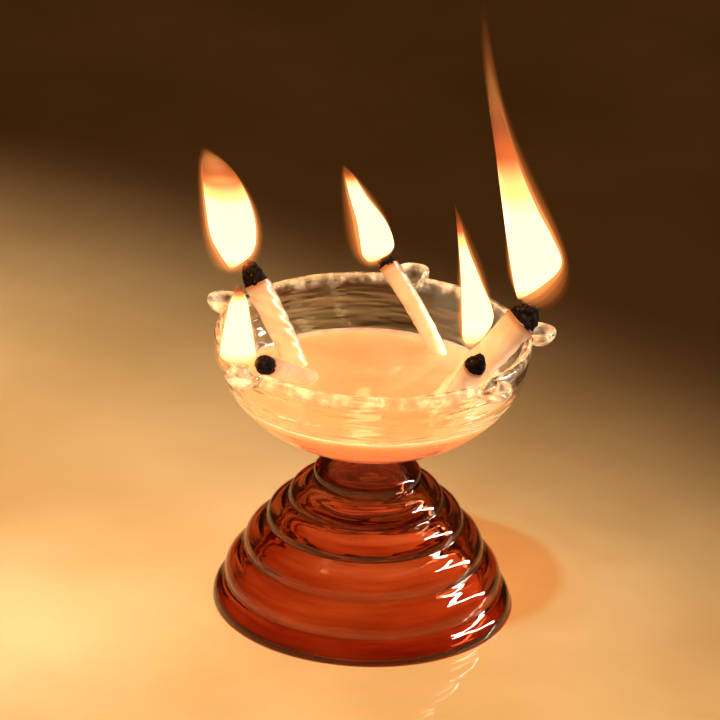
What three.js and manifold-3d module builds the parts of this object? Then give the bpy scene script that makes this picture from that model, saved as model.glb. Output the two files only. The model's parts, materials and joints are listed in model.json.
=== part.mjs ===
// A lit glass diya: a clear bowl with five wick lips, fused to a stepped, hollow amber foot,
// with its oil, five cotton wicks and their flames. Millimetres, +Z up, table at z = 0.
import * as THREE from "three";
import { mergeVertices } from "three/addons/utils/BufferGeometryUtils.js";
import Module from "manifold-3d";

const wasm = await Module();
wasm.setup();

// Driving dimensions
// The origin is the middle of the whole footprint, lips and flames included. The glass stands off it.
const lampAxis = { x: -1.02, y: -2.86 };
const gap = 0.3; // between pieces that touch

// The amber foot: a toe, four rings and a dome, blown in one piece, each from one groove to the next.
// A form is a section between two grooves: how far it stands off the straight line between them,
// at equal steps along that line, as shares of its length.
const foot = {
  floorOuter: 37.6,
  floorInner: 34.4,
  toe: { r: 38.3, z: 0.6 },
  grooves: [
    { r: 35.2, z: 6.1 },
    { r: 30.6, z: 14.7 },
    { r: 25.2, z: 22.6 },
    { r: 20, z: 28.9 },
    { r: 13.7, z: 34.3 },
  ],
  top: { r: 6.8, z: 42.79 },
  toeForm: [0.08, 0.1, 0.04],
  ringForm: [0.14, 0.18, 0.16, 0.11, 0.05],
  domeForm: [0.15, 0.14, 0.09, 0.03],
  wall: 2,
  innerDrop: 0.5, // the inside's grooves lie this much lower than the outside's
  innerShare: 0.35, // how much of the outside's form shows inside
  roof: 3.2, // the crown is thicker than the walls
  crown: 4.5, // radius of the flat top of the hollow
};

// The glass joint that the bowl was fused on with.
const neck = { r: 6.5, waist: 6.0, thick: 1.6 };

// The bowl: an oblate half shell with a fire-polished rim.
const bowl = {
  outer: { r: 39.6, depth: 28 },
  inner: { r: 37.4, depth: 25.8 },
  equator: 72,
  base: 6.6,
  rim: { r: 38.6, z: 73.2, bead: 1.5 },
};
const rimTop = bowl.rim.z + bowl.rim.bead;

// The lips: small half cups pulled out of the rim, where the wicks lie.
const lip = {
  azimuths: [155, 77, 9, 316, 221.5],
  reach: 42.3,
  radius: 4.6,
  hollow: 3.4,
  trough: 3.0,
  troughInward: 4, // how far the trough runs in past the middle of the rim
  top: rimTop + 0.3,
};

// The oil lies a hair off the glass. Its side ends a little under the level, where the flat top starts.
const oil = { level: 60, gap: 0.25, edge: 0.4 };

// Each wick leans over the rim and slopes down into the oil. cut is the middle of its outer face,
// where its charred tip begins. heading is the way its inner end points.
const wicks = [
  { cut: { azimuth: 147, r: 36.2, z: 78.7 }, heading: 327, slope: 56, radius: 3.3, length: 29.2, char: 6 },
  { cut: { azimuth: 85.3, r: 35.9, z: 78.2 }, heading: 317, slope: 45, radius: 2.5, length: 29.4, char: 5.4 },
  { cut: { azimuth: 357, r: 37.2, z: 81 }, heading: 195, slope: 48, radius: 4.2, length: 36, char: 4.6 },
  { cut: { azimuth: 314, r: 36.4, z: 78.6 }, heading: 134, slope: 58, radius: 2.7, length: 24.4, char: 4.2 },
  { cut: { azimuth: 222.4, r: 35.8, z: 75.5 }, heading: 69, slope: 28, radius: 2.6, length: 36, char: 5.4 },
];

// A wick's outline, in shares of its radius. along is a share of its length.
const wickForm = {
  taper: 0.86, // the inner end against the outer one
  nose: { r: 0.6, up: 0.12 },
  shoulder: 0.7,
  middle: { r: 0.96, along: 0.4 },
  cut: { r: 0.94, back: 0.5 },
};

// A charred tip's outline, in shares of its wick's radius. along and back are shares of its length.
const charForm = { r: 0.9, waist: { r: 0.92, along: 0.55 }, nose: { r: 0.5, back: 0.12 } };

// Each flame stands on its lowest point, x, y, z, measured from the lamp's axis. peak is the share of
// its height where it is widest, and taper how fast it narrows from there. lean is how far to the right
// its tip lies, and bow how far its middle does, off the straight line between its two ends.
const flames = [
  { x: -36.9, y: 21.3, z: 80.1, height: 34.5, width: 16.2, peak: 0.36, taper: 1.1, lean: -8.1, bow: 2.9 },
  { x: -1.3, y: 36.8, z: 76.6, height: 28.5, width: 12.6, peak: 0.34, taper: 1.3, lean: -8.6, bow: 2 },
  { x: 41.7, y: -1, z: 83.8, height: 81, width: 13.4, peak: 0.13, taper: 5, lean: -18.8, bow: 0 },
  { x: 24.4, y: -26.5, z: 82.4, height: 42, width: 9.4, peak: 0.26, taper: 1.9, lean: -7.2, bow: 2.4 },
  { x: -32.8, y: -31, z: 75.7, height: 24.5, width: 11.6, peak: 0.26, taper: 1, lean: -0.8, bow: -0.8 },
];
const tall = { flame: 3, plume: 4, sway: 1.5 }; // the tall flame runs out in a thin plume, and sways once
const flameDepth = 0.78; // a flame's thickness from front to back, against its width

// How many sides or steps each round shape has.
const fine = {
  turned: 48,
  ring: 7,
  innerRing: 3,
  shell: 9,
  oil: 14,
  bead: 5,
  ballAround: 20,
  ballUp: 12,
  trough: 16,
  wick: 12,
  flameAround: 12,
  flameUp: 18,
};
const weld = 1e-4; // vertices this close are one
const cutter = { side: 20, skirt: 0.5, above: 2 }; // sizes of the shapes that only cut others

const paint = (color, roughness, metalness, extra = {}) =>
  new THREE.MeshStandardMaterial({ color, roughness, metalness, ...extra });
const materials = {
  amber: paint(0xa82c0e, 0.04, 0, { transparent: true, opacity: 0.8 }),
  clear: paint(0xfff0dc, 0.03, 0, { transparent: true, opacity: 0.35 }),
  oil: paint(0xf7b064, 0.05, 0, { transparent: true, opacity: 0.6 }),
  cotton: paint(0xf4c38a, 0.7, 0),
  char: paint(0x140a08, 0.95, 0),
  flame: paint(0xffd98a, 0.9, 0, { emissive: 0xffc45c }),
};

const radians = THREE.MathUtils.degToRad;
const around = (azimuth, r, z) =>
  new THREE.Vector3(r * Math.cos(radians(azimuth)), r * Math.sin(radians(azimuth)), z);

// A form's section from a to b. It stands off to the right of the way it runs.
function section(a, b, form, share, steps) {
  const from = new THREE.Vector2(a.r, a.z);
  const along = new THREE.Vector2(b.r, b.z).sub(from);
  const off = new THREE.Vector2(along.y, -along.x);
  const stops = [0, ...form, 0].map((value, i, all) =>
    from
      .clone()
      .addScaledVector(along, i / (all.length - 1))
      .addScaledVector(off, value * share),
  );
  return new THREE.SplineCurve(stops).getPoints(steps);
}

// A quarter of an ellipse, from its lowest point out to its equator.
function quarter(shape, from, steps) {
  const first = Math.asin(from / shape.r);
  return Array.from({ length: steps + 1 }, (_, i) => {
    const angle = first + ((Math.PI / 2 - first) * i) / steps;
    return new THREE.Vector2(shape.r * Math.sin(angle), bowl.equator - shape.depth * Math.cos(angle));
  });
}

const turned = (points, sides = fine.turned) => new THREE.LatheGeometry(points, sides).rotateX(Math.PI / 2);

// A three.js geometry as a solid that can be joined and cut, and back.
function solidOf(geometry) {
  const bare = new THREE.BufferGeometry();
  bare.setAttribute("position", geometry.getAttribute("position"));
  bare.setIndex(geometry.getIndex());
  const merged = mergeVertices(bare, weld);
  const index = merged.index.array;
  const kept = [];
  for (let i = 0; i < index.length; i += 3) {
    const [a, b, c] = [index[i], index[i + 1], index[i + 2]];
    if (a !== b && b !== c && a !== c) kept.push(a, b, c);
  }
  const vertProperties = new Float32Array(merged.attributes.position.array);
  return new wasm.Manifold(new wasm.Mesh({ numProp: 3, vertProperties, triVerts: new Uint32Array(kept) }));
}

function geometryOf(solid) {
  const mesh = solid.getMesh();
  const geometry = new THREE.BufferGeometry();
  geometry.setAttribute("position", new THREE.BufferAttribute(mesh.vertProperties, 3));
  geometry.setIndex(new THREE.BufferAttribute(mesh.triVerts, 1));
  geometry.computeVertexNormals();
  return geometry;
}

function piece(name, geometry, material) {
  const mesh = new THREE.Mesh(geometry, material);
  mesh.name = name;
  return mesh;
}

// The foot's section: up the stepped outside, and up the inside from its open floor.
function amberFoot() {
  const forms = [foot.toeForm, ...Array(foot.grooves.length - 1).fill(foot.ringForm), foot.domeForm];
  const stops = [foot.toe, ...foot.grooves, foot.top];
  const outside = [new THREE.Vector2(foot.floorOuter, 0)];
  forms.forEach((form, i) => {
    outside.push(...section(stops[i], stops[i + 1], form, 1, fine.ring).slice(0, -1));
  });
  outside.push(new THREE.Vector2(foot.top.r, foot.top.z), new THREE.Vector2(0, foot.top.z));

  const crown = { r: foot.crown, z: foot.top.z - foot.roof };
  const inner = [...foot.grooves.map(({ r, z }) => ({ r: r - foot.wall, z: z - foot.innerDrop })), crown];
  const inside = [new THREE.Vector2(foot.floorInner, 0)];
  forms.slice(1).forEach((form, i) => {
    inside.push(...section(inner[i], inner[i + 1], form, foot.innerShare, fine.innerRing).slice(0, -1));
  });
  inside.push(new THREE.Vector2(crown.r, crown.z), new THREE.Vector2(0, crown.z));
  return turned([...inside.reverse(), ...outside]);
}

function neckJoint() {
  const low = foot.top.z;
  const high = low + neck.thick;
  return turned([
    new THREE.Vector2(0, low),
    new THREE.Vector2(neck.r, low),
    new THREE.Vector2(neck.waist, (low + high) / 2),
    new THREE.Vector2(neck.r, high),
    new THREE.Vector2(0, high),
  ]);
}

function bowlShell() {
  const { rim } = bowl;
  const bead = Array.from({ length: fine.bead + 1 }, (_, i) => {
    const angle = (Math.PI * i) / fine.bead;
    return new THREE.Vector2(rim.r + rim.bead * Math.cos(angle), rim.z + rim.bead * Math.sin(angle));
  });
  return solidOf(
    turned([
      new THREE.Vector2(0, foot.top.z + neck.thick),
      ...quarter(bowl.outer, bowl.base, fine.shell),
      ...bead,
      ...quarter(bowl.inner, 0, fine.shell).reverse(),
    ]),
  );
}

// What the bowl's outside takes up, grown by the gap, so that a lip stops at the wall.
function bowlCore() {
  const grown = { r: bowl.outer.r + gap, depth: bowl.outer.depth + gap };
  const edge = bowl.rim.r + bowl.rim.bead + gap;
  return solidOf(
    turned([
      ...quarter(grown, 0, fine.shell),
      new THREE.Vector2(edge, bowl.rim.z - cutter.skirt),
      new THREE.Vector2(edge, lip.top + cutter.above),
      new THREE.Vector2(0, lip.top + cutter.above),
    ]),
  );
}

function ball(radius, at) {
  const sphere = new THREE.SphereGeometry(radius, fine.ballAround, fine.ballUp);
  return solidOf(sphere.rotateX(Math.PI / 2).translate(at.x, at.y, at.z));
}

// The hollow of a lip and the trough that opens it through the rim.
function lipHollow(azimuth) {
  const length = lip.reach - bowl.rim.r + lip.troughInward;
  const trough = new THREE.CylinderGeometry(lip.trough, lip.trough, length, fine.trough)
    .rotateZ(Math.PI / 2)
    .translate(lip.reach - length / 2, 0, lip.top)
    .rotateZ(radians(azimuth));
  return ball(lip.hollow, around(azimuth, lip.reach, lip.top)).add(solidOf(trough));
}

function wickLip(azimuth, core) {
  const above = new THREE.BoxGeometry(cutter.side, cutter.side, cutter.side)
    .translate(lip.reach, 0, lip.top + cutter.side / 2)
    .rotateZ(radians(azimuth));
  return ball(lip.radius, around(azimuth, lip.reach, lip.top))
    .subtract(lipHollow(azimuth))
    .subtract(solidOf(above))
    .subtract(core);
}

// The oil, with a channel round each wick.
function oilFill(channels) {
  const lens = { r: bowl.inner.r - oil.gap, depth: bowl.inner.depth - oil.gap };
  const edge = lens.r * Math.sqrt(1 - ((bowl.equator - oil.level) / lens.depth) ** 2);
  const below = quarter(lens, 0, fine.oil).filter((point) => point.y < oil.level - oil.edge);
  const surface = [new THREE.Vector2(edge, oil.level), new THREE.Vector2(0, oil.level)];
  const body = solidOf(turned([...below, ...surface]));
  return channels.reduce((fill, channel) => fill.subtract(channel), body);
}

// A wick's own frame: local +Z runs out along it, and its cut face, where the char starts, is at 0.
function wickPlace({ cut, heading, slope }) {
  const outward = around(heading, Math.cos(radians(slope)), -Math.sin(radians(slope))).negate();
  const place = new THREE.Object3D();
  place.position.copy(around(cut.azimuth, cut.r, cut.z));
  place.quaternion.setFromUnitVectors(new THREE.Vector3(0, 0, 1), outward);
  place.updateMatrixWorld();
  return place;
}

function wickGeometry(radius, length) {
  const { taper, nose, shoulder, middle, cut } = wickForm;
  const small = radius * taper;
  return turned(
    [
      new THREE.Vector2(0, -length),
      new THREE.Vector2(small * nose.r, -length + small * nose.up),
      new THREE.Vector2(small, -length + small * shoulder),
      new THREE.Vector2(radius * middle.r, -length * middle.along),
      new THREE.Vector2(radius, -radius * cut.back),
      new THREE.Vector2(radius * cut.r, 0),
      new THREE.Vector2(0, 0),
    ],
    fine.wick,
  );
}

// grow makes the same shape larger all round, to cut a clear space for it.
function charGeometry(wick, grow = 0) {
  const { waist, nose } = charForm;
  const wide = wick.radius * charForm.r + grow;
  const end = gap + wick.char + grow;
  return turned(
    [
      new THREE.Vector2(0, gap - grow),
      new THREE.Vector2(wide, gap - grow),
      new THREE.Vector2(wide * waist.r, gap + wick.char * waist.along),
      new THREE.Vector2(wide * nose.r, end - wick.char * nose.back),
      new THREE.Vector2(0, end),
    ],
    fine.wick,
  );
}

// How far along X the middle of a flame lies, and half its width, at a share t of its height.
function flameAt({ width, peak, taper, lean, bow }, t, isTall) {
  const swell = (t / peak) ** peak * ((1 - t) / (1 - peak)) ** (1 - peak);
  const plume = isTall ? tall.plume * Math.sqrt(4 * t * (1 - t)) : 0;
  const sway = isTall ? tall.sway * Math.sin(2 * Math.PI * t) : 0;
  return { middle: lean * t + bow * 4 * t * (1 - t) + sway, half: (width * swell ** taper + plume) / 2 };
}

// A flame's rings lie level, closer together near its ends, and close to a point at both.
function flameGeometry(flame, isTall) {
  const { height, lean } = flame;
  const steps = fine.flameUp;
  const sides = fine.flameAround;
  const points = [];
  for (let i = 1; i < steps; i++) {
    const t = (1 - Math.cos((Math.PI * i) / steps)) / 2;
    const { middle, half } = flameAt(flame, t, isTall);
    for (let k = 0; k < sides; k++) {
      const angle = (2 * Math.PI * k) / sides;
      points.push(middle + half * Math.cos(angle), half * flameDepth * Math.sin(angle), height * t);
    }
  }
  points.push(0, 0, 0, lean, 0, height);
  const bottom = (steps - 1) * sides;
  const faces = [];
  for (let k = 0; k < sides; k++) {
    const next = (k + 1) % sides;
    faces.push(bottom, next, k);
    for (let ring = 0; ring + 2 < steps; ring++) {
      const here = ring * sides;
      const above = here + sides;
      faces.push(here + k, here + next, above + next, here + k, above + next, above + k);
    }
    faces.push(bottom + 1, bottom - sides + k, bottom - sides + next);
  }
  const drop = new THREE.BufferGeometry();
  drop.setAttribute("position", new THREE.Float32BufferAttribute(points, 3));
  drop.setIndex(faces);
  return drop.translate(flame.x, flame.y, flame.z);
}

const lamp = new THREE.Group();
lamp.position.set(lampAxis.x, lampAxis.y, 0);

const core = bowlCore();
const shell = lip.azimuths.map(lipHollow).reduce((glass, hollow) => glass.subtract(hollow), bowlShell());
lamp.add(piece("amber_foot", amberFoot(), materials.amber));
lamp.add(piece("neck_joint", neckJoint(), materials.amber));
lamp.add(piece("glass_bowl", geometryOf(shell), materials.clear));
lip.azimuths.forEach((azimuth, i) => {
  lamp.add(piece(`wick_lip_${i + 1}`, geometryOf(wickLip(azimuth, core)), materials.clear));
});

const channels = [];
wicks.forEach((wick, i) => {
  const place = wickPlace(wick);
  const number = i + 1;

  const cotton = piece(`wick_${number}`, wickGeometry(wick.radius, wick.length), materials.cotton);
  const char = piece(`charred_tip_${number}`, charGeometry(wick), materials.char);
  for (const part of [cotton, char]) {
    part.position.copy(place.position);
    part.quaternion.copy(place.quaternion);
    lamp.add(part);
  }
  const room = wickGeometry(wick.radius + gap, wick.length + gap);
  const channel = solidOf(room.applyMatrix4(place.matrixWorld));
  channels.push(channel);

  // The flame closes round the charred tip and the end of the wick, a gap away from both.
  const burnt = solidOf(charGeometry(wick, gap).applyMatrix4(place.matrixWorld));
  const body = solidOf(flameGeometry(flames[i], number === tall.flame));
  const flame = body.subtract(burnt).subtract(channel);
  lamp.add(piece(`flame_${number}`, geometryOf(flame), materials.flame));
});
lamp.add(piece("oil", geometryOf(oilFill(channels)), materials.oil));

const diya = new THREE.Group();
diya.add(lamp);

export default diya;
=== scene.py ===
import json
import math

import bmesh
import bpy
from mathutils import Matrix, Vector, noise


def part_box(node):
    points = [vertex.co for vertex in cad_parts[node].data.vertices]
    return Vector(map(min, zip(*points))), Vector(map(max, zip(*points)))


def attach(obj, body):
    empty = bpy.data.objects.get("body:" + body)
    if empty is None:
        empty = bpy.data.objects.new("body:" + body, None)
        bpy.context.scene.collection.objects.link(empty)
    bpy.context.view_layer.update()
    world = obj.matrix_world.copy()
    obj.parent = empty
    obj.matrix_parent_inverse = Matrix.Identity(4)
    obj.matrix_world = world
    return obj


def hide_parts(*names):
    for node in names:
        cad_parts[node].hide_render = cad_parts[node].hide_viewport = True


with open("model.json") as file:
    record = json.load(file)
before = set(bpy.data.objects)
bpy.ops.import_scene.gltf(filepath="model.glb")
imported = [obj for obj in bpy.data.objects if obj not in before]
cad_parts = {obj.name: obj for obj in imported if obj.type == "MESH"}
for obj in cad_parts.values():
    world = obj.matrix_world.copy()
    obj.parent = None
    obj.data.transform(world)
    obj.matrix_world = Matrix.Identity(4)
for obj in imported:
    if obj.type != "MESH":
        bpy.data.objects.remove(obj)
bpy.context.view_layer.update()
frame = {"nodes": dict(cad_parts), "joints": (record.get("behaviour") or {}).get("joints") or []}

mm = 0.001
onAxis = 1e-6  # a ring smaller than this is one point
footLow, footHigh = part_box("amber_foot")
lampAxis = Vector(((footLow.x + footHigh.x) / 2, (footLow.y + footHigh.y) / 2, 0))
scene = bpy.context.scene
print("frame loaded, lamp axis at", tuple(round(value, 5) for value in lampAxis))


# Mesh tools

def toWorld(x, y, z):
    return lampAxis + Vector((x, y, z)) * mm


def around(azimuth, r, z):
    angle = math.radians(azimuth)
    return toWorld(r * math.cos(angle), r * math.sin(angle), z)


def blendOf(a, b, share):
    return a + (b - a) * share


def newObject(name, bm, material):
    bmesh.ops.recalc_face_normals(bm, faces=bm.faces)
    mesh = bpy.data.meshes.new(name)
    bm.to_mesh(mesh)
    bm.free()
    mesh.shade_smooth()
    if material:
        mesh.materials.append(material)
    made = bpy.data.objects.new(name, mesh)
    scene.collection.objects.link(made)
    return made


# Joins rings of points with faces. A ring of one point closes an end.
def skin(bm, rings):
    for low, high in zip(rings, rings[1:]):
        sides = max(len(low), len(high))
        for k in range(sides):
            after = (k + 1) % sides
            if len(low) == 1:
                bm.faces.new((low[0], high[after], high[k]))
            elif len(high) == 1:
                bm.faces.new((low[k], low[after], high[0]))
            else:
                bm.faces.new((low[k], low[after], high[after], high[k]))


# Turns a closed section of (radius, height) points round the lamp's axis.
def turned(name, profile, material, sides=160, wobble=None):
    bm = bmesh.new()
    rings = []
    for r, z in profile:
        if r < onAxis:
            rings.append([bm.verts.new(toWorld(0, 0, z))])
            continue
        ring = []
        for k in range(sides):
            azimuth = 360 * k / sides
            extra = wobble(azimuth, r, z) if wobble else 0
            ring.append(bm.verts.new(around(azimuth, r + extra, z)))
        rings.append(ring)
    skin(bm, rings)
    return newObject(name, bm, material)


# Where a smooth curve through four even values stands, at a share t of the way from b to c.
def splineAt(a, b, c, d, t):
    bend = (2 * a - 5 * b + 4 * c - d) * t ** 2 + (3 * b - a - 3 * c + d) * t ** 3
    return 0.5 * (2 * b + (c - a) * t + bend)


# Smooth curve through a list of (r, z) points, with even steps between each two.
def throughPoints(points, steps):
    last = len(points) - 1
    curve = []
    for i in range(last):
        p0, p1 = points[max(i - 1, 0)], points[i]
        p2, p3 = points[i + 1], points[min(i + 2, last)]
        for k in range(steps):
            t = k / steps
            curve.append(tuple(splineAt(a, b, c, d, t) for a, b, c, d in zip(p0, p1, p2, p3)))
    curve.append(points[last])
    return curve


# Rounds the corners of an open section a little. The ends stay.
def softened(points, times):
    for _ in range(times):
        middle = [
            tuple((a + 2 * b + c) / 4 for a, b, c in zip(before, here, after))
            for before, here, after in zip(points, points[1:], points[2:])
        ]
        points = [points[0], *middle, points[-1]]
    return points


def applyModifier(thing, kind, **values):
    modifier = thing.modifiers.new(kind, kind)
    for key, value in values.items():
        setattr(modifier, key, value)
    bpy.context.view_layer.update()
    evaluated = thing.evaluated_get(bpy.context.evaluated_depsgraph_get())
    shaped = bpy.data.meshes.new_from_object(evaluated)
    thing.modifiers.clear()
    old = thing.data
    shaped.name = old.name
    thing.data = shaped
    bpy.data.meshes.remove(old)


def joined(name, things, material):
    bm = bmesh.new()
    for thing in things:
        bm.from_mesh(thing.data)
        bpy.data.objects.remove(thing)
    return newObject(name, bm, material)


# Material tools

def newMaterial(name):
    made = bpy.data.materials.new(name)
    made.cycles.emission_sampling = "NONE"
    made.use_nodes = True
    made.node_tree.nodes.clear()
    output = made.node_tree.nodes.new("ShaderNodeOutputMaterial")
    return made, made.node_tree, output


def newNode(tree, kind, inputs=None, **settings):
    made = tree.nodes.new(kind)
    for key, value in settings.items():
        setattr(made, key, value)
    for key, value in (inputs or {}).items():
        if isinstance(value, bpy.types.NodeSocket):
            tree.links.new(value, made.inputs[key])
        else:
            made.inputs[key].default_value = value
    return made


def newRamp(tree, source, stops, interpolation="EASE"):
    ramp = newNode(tree, "ShaderNodeValToRGB", {"Fac": source})
    ramp.color_ramp.interpolation = interpolation
    elements = ramp.color_ramp.elements
    elements[0].position = stops[0][0]
    elements[1].position = stops[-1][0]
    for place, _ in stops[1:-1]:
        elements.new(place)
    for element, (_, colour) in zip(elements, stops):
        element.color = (*colour, 1)
    return ramp.outputs["Color"]


def grey(value):
    return (value, value, value)


def rangeOf(tree, source, low, high):
    spread = newNode(tree, "ShaderNodeMapRange", {"Value": source, "To Min": low, "To Max": high})
    return spread.outputs["Result"]


def newGroup(name, inputs, outputs):
    group = bpy.data.node_groups.new(name, "ShaderNodeTree")
    for label, kind, value in inputs:
        socket = group.interface.new_socket(name=label, in_out="INPUT", socket_type=kind)
        socket.default_value = value
    for label, kind in outputs:
        group.interface.new_socket(name=label, in_out="OUTPUT", socket_type=kind)
    return group, group.nodes.new("NodeGroupInput"), group.nodes.new("NodeGroupOutput")


# Slow waves and fine smudges of glass worked by hand. Height feeds a bump, Smudge a roughness.
def makeHandWorked():
    group, given, result = newGroup(
        "handWorked",
        [
            ("Waves", "NodeSocketFloat", 60.0),
            ("Smudges", "NodeSocketFloat", 240.0),
            ("Stretch", "NodeSocketVector", (1, 1, 2.4)),
        ],
        [("Height", "NodeSocketFloat"), ("Smudge", "NodeSocketFloat")],
    )
    place = newNode(group, "ShaderNodeTexCoord")
    stretched = newNode(group, "ShaderNodeMapping", {
        "Vector": place.outputs["Object"], "Scale": given.outputs["Stretch"],
    })
    waves = newNode(group, "ShaderNodeTexNoise", {
        "Vector": stretched.outputs["Vector"], "Scale": given.outputs["Waves"], "Detail": 2.0,
    })
    smudges = newNode(group, "ShaderNodeTexNoise", {
        "Vector": place.outputs["Object"], "Scale": given.outputs["Smudges"], "Detail": 5.0,
    })
    group.links.new(waves.outputs["Fac"], result.inputs["Height"])
    group.links.new(smudges.outputs["Fac"], result.inputs["Smudge"])
    return group


# Two colours that drift into each other over the surface.
def makeColourDrift():
    group, given, result = newGroup(
        "colourDrift",
        [
            ("First", "NodeSocketColor", (1, 1, 1, 1)),
            ("Second", "NodeSocketColor", (0.5, 0.5, 0.5, 1)),
            ("Scale", "NodeSocketFloat", 40.0),
            ("Stretch", "NodeSocketVector", (1, 1, 1)),
        ],
        [("Color", "NodeSocketColor")],
    )
    place = newNode(group, "ShaderNodeTexCoord")
    stretched = newNode(group, "ShaderNodeMapping", {
        "Vector": place.outputs["Object"], "Scale": given.outputs["Stretch"],
    })
    drift = newNode(group, "ShaderNodeTexNoise", {
        "Vector": stretched.outputs["Vector"], "Scale": given.outputs["Scale"], "Detail": 4.0,
    })
    share = newNode(group, "ShaderNodeMapRange", {
        "Value": drift.outputs["Fac"], "From Min": 0.35, "From Max": 0.65,
    })
    mix = newNode(group, "ShaderNodeMix", data_type="RGBA")
    group.links.new(share.outputs["Result"], mix.inputs["Factor"])
    group.links.new(given.outputs["First"], mix.inputs[6])
    group.links.new(given.outputs["Second"], mix.inputs[7])
    group.links.new(mix.outputs[2], result.inputs["Color"])
    return group


handWorked = makeHandWorked()
colourDrift = makeColourDrift()


def placeGroup(tree, group, inputs):
    made = newNode(tree, "ShaderNodeGroup", node_tree=group)
    for key, value in inputs.items():
        made.inputs[key].default_value = value
    return made


def bumpOf(tree, height, strength, depth):
    bump = newNode(tree, "ShaderNodeBump", {"Height": height, "Strength": strength, "Distance": depth})
    return bump.outputs["Normal"]


# Painted light: glass that glows above a height, in streaks, standing in for the flames' light caught in it.
def litEdge(tree, glass, lit):
    place = newNode(tree, "ShaderNodeTexCoord")
    height = newNode(tree, "ShaderNodeSeparateXYZ", {"Vector": place.outputs["Object"]})
    rise = newNode(tree, "ShaderNodeMapRange", {
        "Value": height.outputs["Z"], "From Min": lit["from"] * mm, "From Max": lit["to"] * mm,
    })
    grain = newNode(tree, "ShaderNodeTexNoise", {
        "Vector": place.outputs["Object"], "Scale": lit["grain"], "Detail": 3.0,
    })
    streaks = newRamp(tree, grain.outputs["Fac"], [(at, grey(value)) for at, value in lit["streaks"]])
    share = newNode(tree, "ShaderNodeMath", {0: rise.outputs["Result"], 1: streaks}, operation="MULTIPLY")
    strength = rangeOf(tree, share.outputs[0], 0, lit["strength"])
    tree.links.new(strength, glass.inputs["Emission Strength"])
    glass.inputs["Emission Color"].default_value = (*lit["colour"], 1)


# Painted shade: a tint that is darker in the grooves between the rings and towards the table, where shade
# falls.
def paintedGrooveShade(tree, colour, look):
    place = newNode(tree, "ShaderNodeTexCoord")
    height = newNode(tree, "ShaderNodeSeparateXYZ", {"Vector": place.outputs["Object"]})
    share = rangeOf(tree, height.outputs["Z"], 0, 1 / (look["top"] * mm))
    stops = []
    for low, high in zip(look["heights"], look["heights"][1:]):
        for part, shade in look["paintedShades"]:
            z = blendOf(low, high, part) / look["top"]
            shadedTone = [shade * blendOf(foot, 1, z) for foot in look["paintedShadeAtTable"]]
            stops.append((z, shadedTone))
    mix = newNode(tree, "ShaderNodeMix", {0: 1.0, 6: colour}, data_type="RGBA", blend_type="MULTIPLY")
    tree.links.new(newRamp(tree, share, stops, "LINEAR"), mix.inputs[7])
    return mix.outputs[2]


# Clear glass, tinted glass or oil. Shadow rays pass through it with a plain tint.
def glassMaterial(name, look):
    made, tree, output = newMaterial(name)
    worked = placeGroup(tree, handWorked, {
        "Waves": look["waves"], "Smudges": look["smudges"], "Stretch": (1, 1, look["stretch"]),
    })
    tint = placeGroup(tree, colourDrift, {
        "First": (*look["tint"], 1), "Second": (*look["deepTint"], 1), "Scale": look["drift"],
        "Stretch": (1, 1, look["streak"]),
    })
    colour = tint.outputs["Color"]
    # painted shade, where a look asks for it: darker in the grooves and towards the table
    if "grooves" in look:
        colour = paintedGrooveShade(tree, colour, look["grooves"])
    glass = newNode(tree, "ShaderNodeBsdfPrincipled", {
        "Base Color": colour,
        "Roughness": rangeOf(tree, worked.outputs["Smudge"], *look["roughness"]),
        "Normal": bumpOf(tree, worked.outputs["Height"], look["bump"], look["bumpDepth"] * mm),
        "IOR": look["ior"],
        "Transmission Weight": look["transmission"],
        **look.get("more", {}),
    })
    passing = newNode(tree, "ShaderNodeBsdfTransparent", {"Color": (*look["shadow"], 1)})
    light = newNode(tree, "ShaderNodeLightPath")
    mix = newNode(tree, "ShaderNodeMixShader", {"Fac": light.outputs["Is Shadow Ray"]})
    tree.links.new(glass.outputs["BSDF"], mix.inputs[1])
    tree.links.new(passing.outputs["BSDF"], mix.inputs[2])
    tree.links.new(mix.outputs["Shader"], output.inputs["Surface"])
    if "lit" in look:
        litEdge(tree, glass, look["lit"])
    if "inside" in look:
        body = newNode(tree, "ShaderNodeVolumeAbsorption", {
            "Color": (*look["inside"], 1), "Density": look["density"],
        })
        tree.links.new(body.outputs["Volume"], output.inputs["Volume"])
    return made


# Camera, at the photograph's viewing angle

cameraLook = {
    "aim": (-3.09, 0, 67.1),
    "distance": 1300,
    "pitch": 24.35,
    "roll": 2.6,  # the lamp leans to the right a little in the picture
    "lens": 258,
    "nearest": 10,
}


def makeCamera(look):
    pitch = math.radians(look["pitch"])
    forward = Vector((0, math.cos(pitch), -math.sin(pitch)))
    roll = Matrix.Rotation(math.radians(look["roll"]), 3, "Z")
    facing = forward.to_track_quat("-Z", "Y").to_matrix() @ roll
    data = bpy.data.cameras.new("camera")
    data.lens = look["lens"]
    data.clip_start = look["nearest"] * mm
    camera = bpy.data.objects.new("camera", data)
    at = toWorld(*look["aim"]) - forward * look["distance"] * mm
    camera.matrix_world = Matrix.Translation(at) @ facing.to_4x4()
    scene.collection.objects.link(camera)
    scene.camera = camera


makeCamera(cameraLook)
print("camera placed")


# Table and light

tableLook = {
    "size": 4000,
    "pale": (0.88, 0.73, 0.58),
    "warm": (0.66, 0.49, 0.32),
    "drift": 8.0,
    "clouds": 30.0,  # how fine its polish varies
    "roughness": (0.01, 0.05),
    "ior": 2.1,
    "grid": 8,
}


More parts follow.
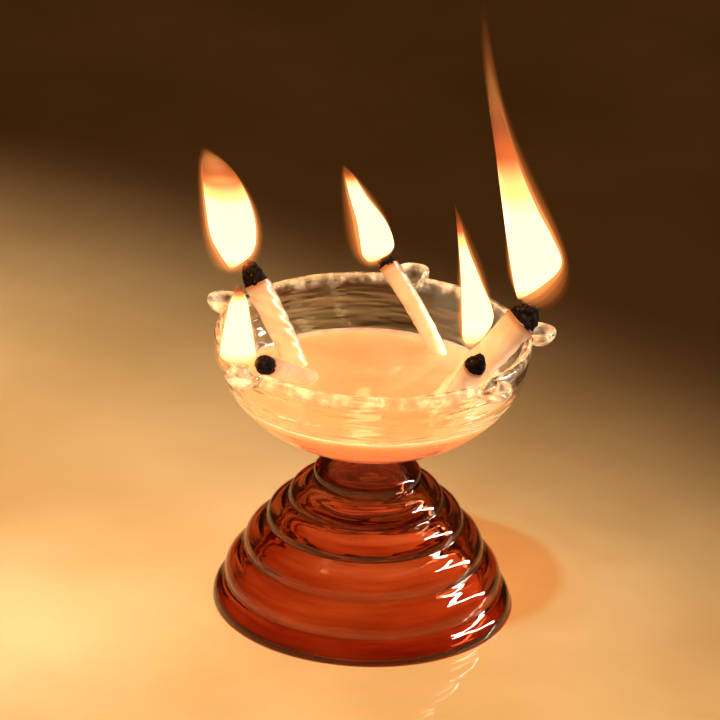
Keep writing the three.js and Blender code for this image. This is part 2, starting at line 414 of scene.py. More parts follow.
def makeTable(look):
    made, tree, output = newMaterial("paleStone")
    stone = placeGroup(tree, colourDrift, {
        "First": (*look["pale"], 1), "Second": (*look["warm"], 1), "Scale": look["drift"],
    })
    place = newNode(tree, "ShaderNodeTexCoord")
    cloud = newNode(tree, "ShaderNodeTexNoise", {
        "Vector": place.outputs["Object"], "Scale": look["clouds"], "Detail": 3.0,
    })
    polish = newNode(tree, "ShaderNodeBsdfPrincipled", {
        "Base Color": stone.outputs["Color"],
        "Roughness": rangeOf(tree, cloud.outputs["Fac"], *look["roughness"]),
        "IOR": look["ior"],
    })
    tree.links.new(polish.outputs["BSDF"], output.inputs["Surface"])
    bm = bmesh.new()
    bmesh.ops.create_grid(bm, x_segments=look["grid"], y_segments=look["grid"], size=look["size"] * mm / 2)
    table = newObject("table", bm, made)


lights = [
    {
        "name": "keyLight", "kind": "SPOT",
        "at": (-549, -573, 2000), "towards": (-549, -573, 0), "cone": 48.6, "blend": 0.08, "soft": 90,
        "power": 275, "colour": (1.0, 0.68, 0.31),
        "inGloss": False, "onTable": True,
    },
    {
        "name": "sideTop", "kind": "AREA",
        "at": (410, 115, 400), "towards": (0, 0, 30), "size": (240, 34), "roll": 0,
        "power": 2.6, "colour": (1.0, 0.90, 0.74), "inGloss": True, "onTable": False,
    },
    {
        "name": "sideLeg", "kind": "AREA",
        "at": (430, 130, 220), "towards": (0, 0, 30), "size": (32, 380), "roll": 25,
        "power": 3.6, "colour": (1.0, 0.90, 0.74), "inGloss": True, "onTable": False,
    },
    {
        "name": "ceiling", "kind": "AREA",
        "at": (0, 120, 900), "towards": (0, 0, 40), "size": (500, 500), "roll": 0,
        "power": 0.3, "colour": (1.0, 0.60, 0.30), "inGloss": True, "onTable": False,
    },
]


def makeLight(look):
    data = bpy.data.lights.new(look["name"], look["kind"])
    if look["kind"] == "AREA":
        data.shape = "RECTANGLE"
        data.size, data.size_y = (value * mm for value in look["size"])
    else:
        data.shadow_soft_size = look["soft"] * mm
    if look["kind"] == "SPOT":
        data.spot_size = math.radians(look["cone"])
        data.spot_blend = look["blend"]
    data.energy = look["power"]
    data.color = look["colour"]
    lamp = bpy.data.objects.new(look["name"], data)
    at = toWorld(*look["at"])
    facing = (toWorld(*look["towards"]) - at).to_track_quat("-Z", "Y").to_matrix()
    facing = facing @ Matrix.Rotation(math.radians(look.get("roll", 0)), 3, "Z")
    lamp.matrix_world = Matrix.Translation(at) @ facing.to_4x4()
    lamp.visible_glossy = look["inGloss"]
    lamp.visible_transmission = look["inGloss"]
    lamp.visible_diffuse = look["onTable"]
    scene.collection.objects.link(lamp)


roomColour = (0.056, 0.022, 0.005, 1)


def makeSurroundings():
    world = bpy.data.worlds.new("room")
    world.use_nodes = True
    world.node_tree.nodes["Background"].inputs["Color"].default_value = roomColour
    scene.world = world
    scene.view_settings.view_transform = "Standard"


makeTable(tableLook)
for look in lights:
    makeLight(look)
makeSurroundings()
print("table and lights placed")


# Amber foot: a toe, four rings and a dome, blown in one piece

footShape = {
    "floorOuter": 37.6,
    "floorInner": 34.4,
    "toe": (38.3, 0.6),
    "grooves": [(35.1, 6.1), (30.5, 14.7), (25.1, 22.6), (19.9, 28.9), (13.6, 34.3)],
    "top": (6.8, 42.79),
    "toeForm": [0.1, 0.12, 0.05],
    "ringForm": [0.12, 0.17, 0.17, 0.12, 0.05],
    "domeForm": [0.15, 0.14, 0.09, 0.03],
    "wall": 2.3,
    "innerDrop": 0.75,
    "innerShare": 0.65,
    "roof": 3.2,
    "crown": 4.5,
    "steps": (8, 6),  # points from one stop to the next, outside and inside
    "rounding": (1, 2),
    "sides": 192,
    "uneven": {"amount": 0.12, "fine": 1.6, "steep": 0.08, "across": 0.4, "seed": 3.0},
}
amberLook = {
    "tint": (1.0, 1.0, 0.68), "deepTint": (0.62, 0.30, 0.14), "drift": 34.0, "streak": 12,
    "inside": (0.88, 0.40, 0.17), "density": 300.0, "shadow": (0.49, 0.235, 0.10),
    "waves": 40.0, "stretch": 9, "smudges": 260.0, "roughness": (0.0, 0.03),
    "bump": 0.6, "bumpDepth": 0.4,
    "ior": 1.5, "transmission": 1.0,
    # painted shade: the tint is darker in the grooves between the rings and towards the table
    "grooves": {
        "top": 46,
        "heights": [0, *[z for _, z in footShape["grooves"]], 46],
        "paintedShades": [(0, 0.55), (0.1, 0.8), (0.45, 1.0), (0.75, 1.0), (0.92, 0.85)],
        "paintedShadeAtTable": (0.82, 0.55, 0.5),
    },
}


# A form's section from one groove to the next. It stands off to the right of the way it runs.
def ringSection(start, end, form, share, steps):
    along = (end[0] - start[0], end[1] - start[1])
    off = (along[1], -along[0])
    heights = [0, *form, 0]
    last = len(heights) - 1
    stops = []
    for i, height in enumerate(heights):
        out = height * share
        stops.append((
            start[0] + along[0] * i / last + off[0] * out,
            start[1] + along[1] * i / last + off[1] * out,
        ))
    return throughPoints(stops, steps)[:-1]


# Moves a turned surface in and out a little, more slowly up its height than round it.
def uneven(amount, fine, steep, across, seed):
    def wobble(azimuth, r, z):
        angle = math.radians(azimuth)
        spot = Vector((math.cos(angle) * fine, math.sin(angle) * fine, z * steep + r * across + seed))
        return amount * noise.noise(spot)
    return wobble


def makeFoot(shape, material):
    forms = [shape["toeForm"], *[shape["ringForm"]] * (len(shape["grooves"]) - 1), shape["domeForm"]]
    stops = [shape["toe"], *shape["grooves"], shape["top"]]
    outerSteps, innerSteps = shape["steps"]
    outerRounding, innerRounding = shape["rounding"]
    outside = [(shape["floorOuter"], 0.0)]
    for start, end, form in zip(stops, stops[1:], forms):
        outside += ringSection(start, end, form, 1, outerSteps)
    outside.append(shape["top"])
    crown = (shape["crown"], shape["top"][1] - shape["roof"])
    inner = [(r - shape["wall"], z - shape["innerDrop"]) for r, z in shape["grooves"]] + [crown]
    inside = [(shape["floorInner"], 0.0)]
    for start, end, form in zip(inner, inner[1:], forms[1:]):
        inside += ringSection(start, end, form, shape["innerShare"], innerSteps)
    inside.append(crown)
    outside = softened(outside, outerRounding)
    inside = softened(inside, innerRounding)
    profile = [(0, crown[1]), *reversed(inside), *outside, (0, shape["top"][1])]
    foot = turned("amber_foot_glass", profile, material, shape["sides"], uneven(**shape["uneven"]))
    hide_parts("amber_foot")
    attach(foot, "lamp")


neckShape = {"r": 6.5, "waist": 6.0, "thick": 1.6, "round": 0.4, "steps": 5, "sides": 96}


def makeNeck(shape, low, material):
    high = low + shape["thick"]
    middle = (low + high) / 2
    outline = throughPoints([
        (shape["r"] - shape["round"], low), (shape["r"], low + shape["round"]), (shape["waist"], middle),
        (shape["r"], high - shape["round"]), (shape["r"] - shape["round"], high),
    ], shape["steps"])
    neck = turned("neck_glass", [(0, low), *outline, (0, high)], material, shape["sides"])
    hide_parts("neck_joint")
    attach(neck, "lamp")


amberGlass = glassMaterial("amberGlass", amberLook)
makeFoot(footShape, amberGlass)
makeNeck(neckShape, footShape["top"][1], amberGlass)
print("foot and neck made")


# Bowl: an oblate half shell with a fire-polished rim and five lips, fused into one

bowlShape = {
    "outer": (39.6, 28),
    "inner": (37.4, 25.8),
    "equator": 72,
    "base": 6.6,
    "rim": (38.6, 73.2, 1.5),
    "start": 0.4,  # how near to the axis the inside comes
    "wallSteps": 44,
    "rimSteps": 14,
    "rounding": 2,
    "sides": 240,
    "uneven": {"amount": 0.22, "fine": 1.4, "steep": 0.35, "across": 0.4, "seed": 11.0},
}
lipShape = {
    "azimuths": [155, 77, 9, 316, 221.5],
    "reach": 42.3,
    "radius": 4.5,
    "hollow": 3.3,
    "top": 75.0,
    "bead": 1.0,
    "trough": 3.0,
    "troughInward": 4,
    "cupSteps": 14,
    "sides": 40,
    "beadSteps": (48, 14),
}
fusing = {"voxel": 0.5, "share": 0.5, "times": 8}
clearLook = {
    "tint": (1.0, 0.975, 0.94), "deepTint": (1.0, 0.955, 0.90), "drift": 30.0, "streak": 1,
    "shadow": (0.99, 0.96, 0.92),
    "waves": 45.0, "stretch": 6, "smudges": 300.0, "roughness": (0.0, 0.02),
    "bump": 0.85, "bumpDepth": 1.0,
    "ior": 1.48, "transmission": 1.0,
    # painted glow on the rim, standing in for the flames' light caught in the glass
    "lit": {
        "from": 71.0, "to": 73.5, "grain": 330.0, "streaks": [(0.4, 0.02), (0.52, 0.3), (0.62, 1)],
        "colour": (1.0, 0.64, 0.34), "strength": 0.6,
    },
}


# A quarter of an ellipse, from its lowest point out to its equator.
def quarter(size, start, steps):
    first = math.asin(start / size[0])
    angles = [first + (math.pi / 2 - first) * i / steps for i in range(steps + 1)]
    return [(size[0] * math.sin(a), bowlShape["equator"] - size[1] * math.cos(a)) for a in angles]


# A lip's own frame: local x points out of the lamp, and its middle lies at the lip's top.
def lipPlace(azimuth, shape):
    turn = Matrix.Rotation(math.radians(azimuth), 4, "Z")
    return Matrix.Translation(around(azimuth, shape["reach"], shape["top"])) @ turn


def placed(bm, material, matrix, name):
    bmesh.ops.transform(bm, matrix=matrix, verts=bm.verts)
    return newObject(name, bm, material)


# Half a hollow ball, open at the top.
def lipCup(azimuth, shape):
    steps, sides = shape["cupSteps"], shape["sides"]
    bm = bmesh.new()
    quarters = [math.pi / 2 * i / steps for i in range(steps + 1)]
    outline = [(shape["radius"] * math.sin(a), -shape["radius"] * math.cos(a)) for a in quarters]
    hollow = [(shape["hollow"] * math.sin(a), -shape["hollow"] * math.cos(a)) for a in reversed(quarters)]
    rings = []
    for r, z in outline + hollow:
        if r < onAxis:
            rings.append([bm.verts.new((0, 0, z * mm))])
            continue
        angles = [2 * math.pi * k / sides for k in range(sides)]
        rings.append([bm.verts.new((r * mm * math.cos(a), r * mm * math.sin(a), z * mm)) for a in angles])
    skin(bm, rings)
    return placed(bm, None, lipPlace(azimuth, shape), "cup")


# The thick bead round the open edge of a lip.
def lipBead(azimuth, shape):
    long, tube = shape["beadSteps"]
    middle = shape["radius"] - shape["bead"]
    bm = bmesh.new()
    rings = []
    for i in range(long):
        angle = 2 * math.pi * i / long
        ring = []
        for k in range(tube):
            turn = 2 * math.pi * k / tube
            r = middle + shape["bead"] * math.cos(turn)
            z = shape["bead"] * (math.sin(turn) - 1)
            ring.append(bm.verts.new((r * mm * math.cos(angle), r * mm * math.sin(angle), z * mm)))
        rings.append(ring)
    skin(bm, [*rings, rings[0]])
    return placed(bm, None, lipPlace(azimuth, shape), "bead")


# What opens a lip through the rim: a level rod from the lip's middle in over the rim.
def lipCutter(azimuth, shape):
    bm = bmesh.new()
    length = (shape["reach"] - bowlShape["rim"][0] + shape["troughInward"]) * mm
    radius = shape["trough"] * mm
    bmesh.ops.create_cone(
        bm, cap_ends=True, segments=shape["sides"], radius1=radius, radius2=radius, depth=length,
        matrix=Matrix.Translation((-length / 2, 0, 0)) @ Matrix.Rotation(math.pi / 2, 4, "Y"),
    )
    return placed(bm, None, lipPlace(azimuth, shape), "cutter")


def makeBowl(shape, lips, low, material):
    rimR, rimZ, bead = shape["rim"]
    turns = [math.pi * i / shape["rimSteps"] for i in range(shape["rimSteps"] + 1)]
    beadPoints = [(rimR + bead * math.cos(a), rimZ + bead * math.sin(a)) for a in turns]
    profile = softened([
        *quarter(shape["outer"], shape["base"], shape["wallSteps"]),
        *beadPoints,
        *reversed(quarter(shape["inner"], shape["start"], shape["wallSteps"])),
    ], shape["rounding"])
    profile = [(0, low), *profile, (0, profile[-1][1])]
    shell = turned("shell", profile, None, shape["sides"], uneven(**shape["uneven"]))
    parts = [shell]
    for azimuth in lips["azimuths"]:
        parts += [lipCup(azimuth, lips), lipBead(azimuth, lips)]
    cutters = joined("cutters", [lipCutter(azimuth, lips) for azimuth in lips["azimuths"]], None)
    for part in parts:
        applyModifier(part, "BOOLEAN", operation="DIFFERENCE", solver="EXACT", object=cutters)
    bpy.data.objects.remove(cutters)
    bowl = joined("bowl_glass", parts, material)
    applyModifier(bowl, "REMESH", mode="VOXEL", voxel_size=fusing["voxel"] * mm, use_smooth_shade=True)
    applyModifier(bowl, "SMOOTH", factor=fusing["share"], iterations=fusing["times"])
    bowl.data.materials.clear()
    bowl.data.materials.append(material)
    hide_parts("glass_bowl", *[f"wick_lip_{k + 1}" for k in range(len(lips["azimuths"]))])
    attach(bowl, "lamp")


clearGlass = glassMaterial("clearGlass", clearLook)
makeBowl(bowlShape, lipShape, footShape["top"][1] + neckShape["thick"], clearGlass)
print("bowl and lips made")


# Oil, a little into the glass so that no air shows between the two

oilShape = {
    "level": 60,
    "into": 0.7,
    "creep": 0.7,  # how far it climbs the glass
    "creepWidth": 0.8,
    "steps": (90, 40),  # points down its side and across its surface
    "sides": 160,
}
oilLook = {
    "tint": (0.98, 0.54, 0.33), "deepTint": (0.93, 0.46, 0.26), "drift": 60.0, "streak": 1,
    "shadow": (0.96, 0.80, 0.62),
    "waves": 45.0, "stretch": 5, "smudges": 120.0, "roughness": (0.02, 0.06),
    "bump": 0.4, "bumpDepth": 0.7,
    "ior": 1.47, "transmission": 0.4,
    "more": {
        "Subsurface Weight": 1.0, "Subsurface Radius": (1.0, 0.62, 0.42), "Subsurface Scale": 10 * mm,
        # painted glow: the oil glows a little, standing in for the flames' light scattered inside it
        "Emission Color": (1.0, 0.50, 0.28, 1), "Emission Strength": 0.08,
    },
}


def makeOil(shape, material):
    size = (bowlShape["inner"][0] + shape["into"], bowlShape["inner"][1] + shape["into"])
    depth = (bowlShape["equator"] - shape["level"] - shape["creep"]) / size[1]
    edge = size[0] * math.sqrt(1 - depth ** 2)
    down, across = shape["steps"]
    wall = quarter(size, bowlShape["start"], down)
    below = [point for point in wall if point[1] < shape["level"] + shape["creep"]]
    surface = []
    for i in range(across):
        r = edge * (1 - i / across)
        creep = shape["creep"] * math.exp(-(edge - r) / shape["creepWidth"])
        surface.append((r, shape["level"] + creep))
    profile = [(0, below[0][1]), *below, *surface, (0, shape["level"])]
    oil = turned("oil_fill", profile, material, shape["sides"])
    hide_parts("oil")
    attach(oil, "lamp")


lampOil = glassMaterial("lampOil", oilLook)
makeOil(oilShape, lampOil)
print("oil made")


# Wicks: rolled cotton soaked in oil, and their charred tips

wickShape = {
    "taper": 0.86,
    "strands": 5,
    "strandDepth": 0.035,
    "turns": 1.4,
    "lumps": 0.13,
    "lumpLength": 4.5,
    "lumpFine": 1.3,
    "seedStep": 7,  # from the lumps of one wick to those of the next
    "round": 0.5,  # how far its inner end is rounded, in shares of its radius
    "full": 1.1,  # soaked cotton swells a little
    "bend": [0.3, 1.0, 0, 0, 0],
    "rows": 110,
    "sides": 48,
}
charShape = {
    "length": [6, 5.4, 4.6, 4.2, 5.4],
    "gap": 0.3,
    "overlap": 0.8,
    "foot": 1.0,  # widths in shares of the wick's radius
    "tip": 0.22,
    "narrowing": 1.4,
    "blunt": 0.86,  # where its end starts to round off
    "rounding": 0.95,
    "ragged": 0.3,
    "raggedFoot": 0.25,  # its foot is less ragged than its tip
    "ragFine": (1.9, 3.2),  # how fine the rags are, round it and along it
    "ragHeights": (1.6, 0.8),  # large and small ones
    "smallRags": 2.7,  # how much finer the small ones are
    "seedStep": 5,
    "rows": 40,
    "sides": 36,
}
cottonLook = {
    "fibre": (1.0, 0.78, 0.56), "soaked": (1.0, 0.66, 0.40), "drift": 220.0,
    "scorched": (0.42, 0.16, 0.05), "scorch": [(0.8, 0), (0.93, 0.35), (0.99, 1)],
    # painted light: the cotton glows a little, standing in for the flames' light on it
    "glow": 0.12,
    "fibres": 900.0, "fibreHeight": 0.15, "bump": 0.5, "roughness": (0.35, 0.6),
    "deep": 0.35, "deepReach": (1.0, 0.5, 0.25), "deepScale": 1.6,
    "wet": 0.7, "wetRoughness": 0.12,
}


# A CAD wick's inner end, the way it runs out, its length and its radius.
def wickLine(number):
    joint = next(j for j in frame["joints"] if j["child"] == f"wick_set_{number}")
    axis = Vector(joint["axis"]).normalized()
    points = [v.co.copy() for v in frame["nodes"][f"wick_{number}"].data.vertices]
    along = [point.dot(axis) for point in points]
    start = min(points, key=lambda point: point.dot(axis))
    radius = max((point - start - axis * (point - start).dot(axis)).length for point in points)
    return start, axis, max(along) - min(along), radius


# Builds a round limb along a line, with an attribute that runs from 0 at its start to 1 at its end.
def limb(name, start, axis, length, radiusAt, material, rows, sides, offsetAt=None):
    side = axis.orthogonal().normalized()
    other = axis.cross(side)
    bm = bmesh.new()
    layer = bm.verts.layers.float.new("along")
    rings = []
    for i in range(rows + 1):
        share = i / rows
        centre = start + axis * length * share
        if offsetAt:
            centre += offsetAt(share)
        if i in (0, rows):
            ring = [bm.verts.new(centre)]
        else:
            ring = []
            for k in range(sides):
                angle = 2 * math.pi * k / sides
                out = side * math.cos(angle) + other * math.sin(angle)
                ring.append(bm.verts.new(centre + out * radiusAt(share, angle)))
        for vert in ring:
            vert[layer] = share
        rings.append(ring)
    skin(bm, rings)
    return newObject(name, bm, material)


def makeCotton():
    look = cottonLook
    made, tree, output = newMaterial("soakedCotton")
    drift = placeGroup(tree, colourDrift, {
        "First": (*look["fibre"], 1), "Second": (*look["soaked"], 1), "Scale": look["drift"],
    })
    along = newNode(tree, "ShaderNodeAttribute", attribute_name="along")
    scorch = newRamp(tree, along.outputs["Fac"], [(at, grey(value)) for at, value in look["scorch"]])
    burn = newNode(tree, "ShaderNodeMix", data_type="RGBA")
    tree.links.new(scorch, burn.inputs["Factor"])
    tree.links.new(drift.outputs["Color"], burn.inputs[6])
    burn.inputs[7].default_value = (*look["scorched"], 1)
    place = newNode(tree, "ShaderNodeTexCoord")
    fibres = newNode(tree, "ShaderNodeTexNoise", {
        "Vector": place.outputs["Object"], "Scale": look["fibres"], "Detail": 3.0, "Roughness": 0.6,
    })
    cotton = newNode(tree, "ShaderNodeBsdfPrincipled", {
        "Base Color": burn.outputs[2],
        # painted light: a faint glow in the cotton's own colour, standing in for the flames' light on it
        "Emission Color": burn.outputs[2],
        "Emission Strength": look["glow"],
        "Roughness": rangeOf(tree, fibres.outputs["Fac"], *look["roughness"]),
        "Subsurface Weight": look["deep"],
        "Subsurface Radius": look["deepReach"],
        "Subsurface Scale": look["deepScale"] * mm,
        "Coat Weight": look["wet"],
        "Coat Roughness": look["wetRoughness"],
        "Normal": bumpOf(tree, fibres.outputs["Fac"], look["bump"], look["fibreHeight"] * mm),
    })
    tree.links.new(cotton.outputs["BSDF"], output.inputs["Surface"])
    return made


charLook = {
    "flakes": 1100.0, "flakeHeight": 0.3, "bump": 0.8, "roughness": 0.85, "gloss": 0.05, "glow": 0.5,
    "soot": [(0.35, (0.004, 0.003, 0.003)), (0.6, (0.018, 0.010, 0.008)), (0.8, (0.10, 0.045, 0.025))],
    "embers": [(0.66, (0, 0, 0)), (0.78, (1.0, 0.22, 0.04))],
}


def makeChar():
    look = charLook
    made, tree, output = newMaterial("charredCotton")
    place = newNode(tree, "ShaderNodeTexCoord")
    flakes = newNode(tree, "ShaderNodeTexNoise", {
        "Vector": place.outputs["Object"], "Scale": look["flakes"], "Detail": 4.0,
    })
    char = newNode(tree, "ShaderNodeBsdfPrincipled", {
        "Base Color": newRamp(tree, flakes.outputs["Fac"], look["soot"]),
        "Roughness": look["roughness"],
        "Specular IOR Level": look["gloss"],
        "Emission Color": newRamp(tree, flakes.outputs["Fac"], look["embers"]),
        "Emission Strength": look["glow"],
        "Normal": bumpOf(tree, flakes.outputs["Fac"], look["bump"], look["flakeHeight"] * mm),
    })
    tree.links.new(char.outputs["BSDF"], output.inputs["Surface"])
    return made


soakedCotton = makeCotton()
charredCotton = makeChar()


def makeWick(number):
    shape = wickShape
    start, axis, length, radius = wickLine(number)
    bend = Vector((1, 0, 0)) * shape["bend"][number - 1] * mm
    lumpLength = shape["lumpLength"] * mm

    def radiusAt(share, angle):
        size = radius * shape["full"] * blendOf(shape["taper"], 1, share)
        distance = length * share
        fromEnd = min(distance, length - distance)
        if fromEnd < shape["round"] * radius and share < 0.5:
            size *= math.sqrt(max(fromEnd, 0) / (radius * shape["round"]))
        turn = angle + 2 * math.pi * shape["turns"] * share
        size *= 1 - shape["strandDepth"] * (1 - abs(math.cos(shape["strands"] * turn / 2)))
        spot = Vector((math.cos(turn), math.sin(turn), distance / lumpLength + number * shape["seedStep"]))
        return size * (1 - shape["lumps"] * (0.5 - 0.5 * noise.noise(spot * shape["lumpFine"])))

    wick = limb(
        f"cotton_wick_{number}", start, axis, length, radiusAt, soakedCotton, shape["rows"], shape["sides"],
        lambda share: bend * math.sin(math.pi * share),
    )
    body = f"wick_set_{number}"
    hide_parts(f"wick_{number}")
    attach(wick, body)

    cut = start + axis * length
    charLength = (charShape["length"][number - 1] + charShape["gap"] + charShape["overlap"]) * mm

    def charRadiusAt(share, angle):
        size = radius * blendOf(charShape["foot"], charShape["tip"], share ** charShape["narrowing"])
        if share > charShape["blunt"]:
            past = (share - charShape["blunt"]) / (1 - charShape["blunt"])
            size *= math.sqrt(1 - charShape["rounding"] * past ** 2)
        roundIt, alongIt = charShape["ragFine"]
        height = share * alongIt + number * charShape["seedStep"]
        spot = Vector((math.cos(angle) * roundIt, math.sin(angle) * roundIt, height))
        large, small = charShape["ragHeights"]
        rags = large * noise.noise(spot) + small * noise.noise(spot * charShape["smallRags"])
        return size * (1 + charShape["ragged"] * blendOf(charShape["raggedFoot"], 1, share) * rags)

    tip = limb(
        f"charred_wick_end_{number}", cut - axis * charShape["overlap"] * mm, axis, charLength, charRadiusAt,
        charredCotton, charShape["rows"], charShape["sides"],
    )
    for thing in (wick, tip):
        thing.visible_shadow = False
    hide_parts(f"charred_tip_{number}")
    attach(tip, body)


for number in range(1, 6):
    makeWick(number)
print("wicks made")


# Flames: a bright core and four layers of glowing gas that thin out towards the edge of the CAD flame.
# The hull is the CAD flame. A core's left and right edges run from its foot to its tip.

flameShapes = [
    {
        "y": 21.3, "cool": 0.62,
        "hull": {
            "x": -36.9, "z": 80.1, "height": 34.5, "width": 16.2,
            "peak": 0.36, "taper": 1.1, "lean": -8.1, "bow": 2.9,
        },
        "left": [
            (-37, 81), (-39.6, 85), (-42.4, 90.5), (-43.8, 98),
            (-44.7, 104.5), (-44.9, 109.5), (-43.8, 112.8),
        ],
        "right": [
            (-37, 81), (-31.9, 85.7), (-30.9, 91), (-32, 97.5),
            (-34.8, 104.2), (-38.6, 109.6), (-43.8, 112.8),
        ],
    },
    {
        "y": 36.8, "cool": 0.8,
        "hull": {
            "x": -1.3, "z": 76.6, "height": 28.5, "width": 12.6,
            "peak": 0.34, "taper": 1.3, "lean": -8.6, "bow": 2,
        },
        "left": [
            (-1.4, 77.8), (-3.6, 80.2), (-4.5, 84.5), (-5.6, 90), (-7.5, 96), (-9, 101.5), (-9.4, 104.8),
        ],
        "right": [
            (-1.4, 77.8), (3.7, 81.7), (4, 85), (1.6, 90.2), (-3, 96), (-6.5, 101.5), (-9.4, 104.8),
        ],
    },
    {
        "y": -1, "cool": 0.42,
        "hull": {
            "x": 41.7, "z": 83.8, "height": 81, "width": 13.4,
            "peak": 0.13, "taper": 5, "lean": -18.8, "bow": 0, "plume": 4, "sway": 1.5,
        },
        "left": [
            (35.8, 85.8), (34.8, 89), (33.6, 94.5), (32.1, 102), (30.7, 110),
            (29.3, 118), (28, 126), (26.6, 134), (25.6, 144),
        ],
        "right": [
            (35.8, 85.8), (42, 91), (46, 96.3), (43.6, 102.7), (39.3, 110.5),
            (35.6, 118.5), (32.5, 126), (29.7, 134), (25.6, 144),
        ],
    },
    {
        "y": -26.5, "cool": 0.7,
        "hull": {
            "x": 24.4, "z": 82.4, "height": 42, "width": 9.4,
            "peak": 0.26, "taper": 1.9, "lean": -7.2, "bow": 2.4,
        },
        "left": [
            (23.8, 83.8), (22, 86), (21.5, 91), (20.8, 101), (19.9, 109), (19, 116), (18.3, 121.5),
        ],
        "right": [
            (23.8, 83.8), (26.8, 86.8), (29.1, 92.6), (25.6, 101.6),
            (22.3, 109.4), (20.1, 116), (18.3, 121.5),
        ],
    },
    {
        "y": -31, "cool": 0.8,
        "hull": {
            "x": -32.8, "z": 75.7, "height": 24.5, "width": 11.6,
            "peak": 0.26, "taper": 1, "lean": -0.8, "bow": -0.8,
        },
        "left": [(-33, 79.4), (-37, 80.2), (-37.3, 83), (-36.4, 90), (-35.3, 95.5), (-33.3, 100)],
        "right": [(-33, 79.4), (-29, 80.6), (-29, 83.4), (-30.3, 90.4), (-31.3, 95.7), (-33.3, 100)],
    },
]
flameForm = {"depth": 0.78, "rows": 72, "sides": 40, "hotShare": 0.5}
flameLayers = [
    {"name": "flame_core", "share": 0.0, "paint": "core"},
    {"name": "flame_veil", "share": 0.3, "paint": "veil"},
    {"name": "flame_glow", "share": 0.55, "paint": "glow"},
    {"name": "flame_haze", "share": 0.8, "paint": "haze"},
    {"name": "flame_rim", "share": 0.99, "paint": "rim"},
]


# The left and right edge of the CAD flame at a share t of its height.
def hullAt(form, t):
    peak = form["peak"]
    swell = (t / peak) ** peak * ((1 - t) / (1 - peak)) ** (1 - peak)
    plume = form.get("plume", 0) * math.sqrt(4 * t * (1 - t))
    sway = form.get("sway", 0) * math.sin(2 * math.pi * t)
    middle = form["x"] + form["lean"] * t + form["bow"] * 4 * t * (1 - t) + sway
    half = (form["width"] * swell ** form["taper"] + plume) / 2
    z = form["z"] + form["height"] * t
    return Vector((middle - half, z)), Vector((middle + half, z))


def flameMesh(name, flame, share, material):
    rows, sides, hotShare = flameForm["rows"], flameForm["sides"], flameForm["hotShare"]
    steps = rows // (len(flame["left"]) - 1) + 1
    left = throughPoints(flame["left"], steps)
    right = throughPoints(flame["right"], steps)
    foot, tip = left[0][1], left[-1][1]
    last = len(left) - 1
    bm = bmesh.new()
    layer = bm.verts.layers.float.new("rise")
    rings = []
    for i in range(last + 1):
        core = (Vector(left[i]), Vector(right[i]))
        t = min(max(((core[0].y + core[1].y) / 2 - foot) / (tip - foot), 0), 1)
        a, b = (inner.lerp(outer, share) for inner, outer in zip(core, hullAt(flame["hull"], t)))
        middle = (a + b) / 2
        half = (b - a) / 2
        if i in (0, last):
            ring = [bm.verts.new(toWorld(middle.x, flame["y"], middle.y))]
        else:
            ring = []
            for k in range(sides):
                angle = 2 * math.pi * k / sides
                spot = middle + half * math.cos(angle)
                deep = half.length * flameForm["depth"] * math.sin(angle)
                ring.append(bm.verts.new(toWorld(spot.x, flame["y"] + deep, spot.y)))
        cooled = max(t - flame["cool"], 0) / (1 - flame["cool"])
        for vert in ring:
            vert[layer] = min(t / flame["cool"], 1) * hotShare + cooled * (1 - hotShare)
        rings.append(ring)
    skin(bm, rings)
    return newObject(name, bm, material)


# Colours and cover run from the foot, 0, over the end of the hot part, 0.5, to the tip, 1.
coreLook = {
    "strength": 2.6,
    "inGlass": 4.5,
    "stops": [
        (0.0, (0.6, 0.14, 0.04)), (0.04, (1.0, 0.45, 0.15)), (0.11, (1.0, 0.78, 0.36)),
        (0.48, (1.0, 0.80, 0.36)), (0.6, (1.0, 0.46, 0.13)), (0.72, (0.30, 0.045, 0.010)),
        (0.86, (0.07, 0.010, 0.003)), (1.0, (0.03, 0.006, 0.002)),
    ],
    "cover": [(0.0, grey(0.0)), (0.06, grey(1.0)), (0.6, grey(1.0)), (0.78, grey(0.7)), (1.0, grey(0.0))],
}
veilLook = {
    "strength": 1.0,
    "inGlass": 1.0,
    "stops": [
        (0.0, (1.0, 0.30, 0.07)), (0.35, (1.0, 0.42, 0.12)),
        (0.7, (0.7, 0.12, 0.03)), (1.0, (0.15, 0.02, 0.005)),
    ],
    "cover": [(0.0, grey(0.05)), (0.2, grey(0.2)), (0.6, grey(0.25)), (1.0, grey(0.0))],
}
glowLooks = {
    "veil": ((1.0, 0.42, 0.12), 70.0),
    "glow": ((1.0, 0.32, 0.07), 40.0),
    "haze": ((1.0, 0.25, 0.05), 30.0),
    "rim": ((1.0, 0.20, 0.035), 12.0),
}


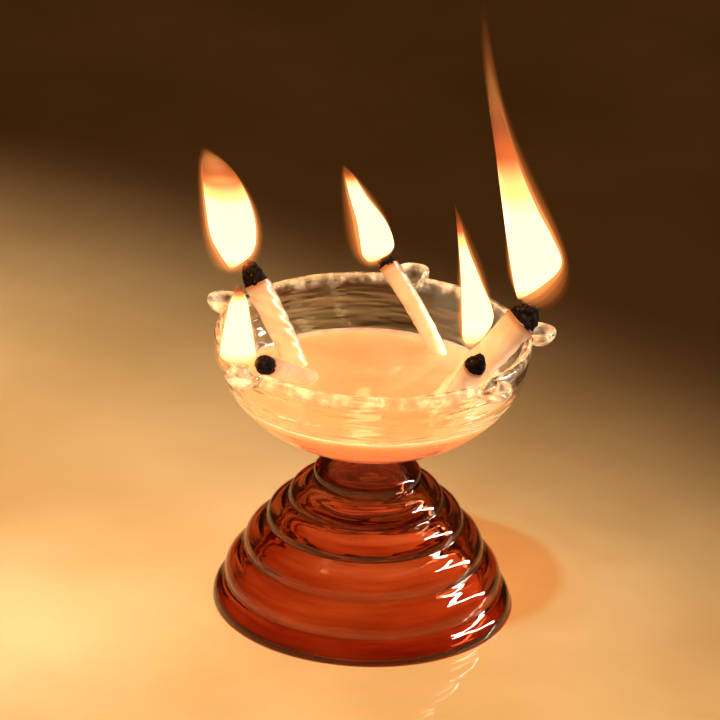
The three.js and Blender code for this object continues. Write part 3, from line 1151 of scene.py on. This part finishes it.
# A flame surface whose colour and cover change from foot to tip. A look can be brighter where glass
# shows the flame, because a real flame is far brighter than the picture's white.
def makeFire(name, look, glow=None):
    made, tree, output = newMaterial(name)
    rise = newNode(tree, "ShaderNodeAttribute", attribute_name="rise").outputs["Fac"]
    ray = newNode(tree, "ShaderNodeLightPath")
    mirrored = newNode(tree, "ShaderNodeMath", {
        0: ray.outputs["Is Glossy Ray"], 1: ray.outputs["Is Transmission Ray"],
    })
    direct = newNode(tree, "ShaderNodeMath", {0: ray.outputs["Diffuse Depth"], 1: 0.5}, operation="LESS_THAN")
    inGlass = newNode(tree, "ShaderNodeMath", {
        0: mirrored.outputs[0], 1: direct.outputs[0],
    }, operation="MULTIPLY")
    fire = newNode(tree, "ShaderNodeBsdfPrincipled", {
        "Base Color": (0, 0, 0, 1),
        "Roughness": 1.0,
        "Specular IOR Level": 0.0,
        "Emission Color": newRamp(tree, rise, look["stops"]),
        "Emission Strength": rangeOf(tree, inGlass.outputs[0], look["strength"], look["inGlass"]),
        "Alpha": newRamp(tree, rise, look["cover"]),
    })
    tree.links.new(fire.outputs["BSDF"], output.inputs["Surface"])
    if glow:
        addGlow(tree, output, glow)
    return made


# Glowing gas: it adds light by how deep it is, so it thins out towards its edge.
def addGlow(tree, output, glow):
    colour, strength = glow
    gas = newNode(tree, "ShaderNodeEmission", {"Color": (*colour, 1), "Strength": strength})
    tree.links.new(gas.outputs["Emission"], output.inputs["Volume"])


def makeGas(name, glow):
    made, tree, output = newMaterial(name)
    addGlow(tree, output, glow)
    return made


flamePaint = {
    "core": makeFire("flameCore", coreLook),
    "veil": makeFire("flameVeil", veilLook, glowLooks["veil"]),
    "glow": makeGas("flameGlow", glowLooks["glow"]),
    "haze": makeGas("flameHaze", glowLooks["haze"]),
    "rim": makeGas("flameRim", glowLooks["rim"]),
}
for number, flame in enumerate(flameShapes, 1):
    for layer in flameLayers:
        part = flameMesh(f"{layer['name']}_{number}", flame, layer["share"], flamePaint[layer["paint"]])
        part.visible_shadow = False
        part.visible_diffuse = False
        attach(part, f"wick_set_{number}")
        if layer["paint"] == "core":
            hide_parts(f"flame_{number}")


# The light that each flame gives: a small lamp in its lower part. It doesn't ride with the wick.
flameLight = {"soft": 7, "power": 0.0055, "colour": (1.0, 0.54, 0.28)}
for number, flame in enumerate(flameShapes, 1):
    left, right = flame["left"][2], flame["right"][2]
    makeLight({
        "name": f"flameLight_{number}", "kind": "POINT", **flameLight,
        "at": ((left[0] + right[0]) / 2, flame["y"], left[1]), "towards": (0, 0, 0),
        "inGloss": False, "onTable": True,
    })
print("flames made")
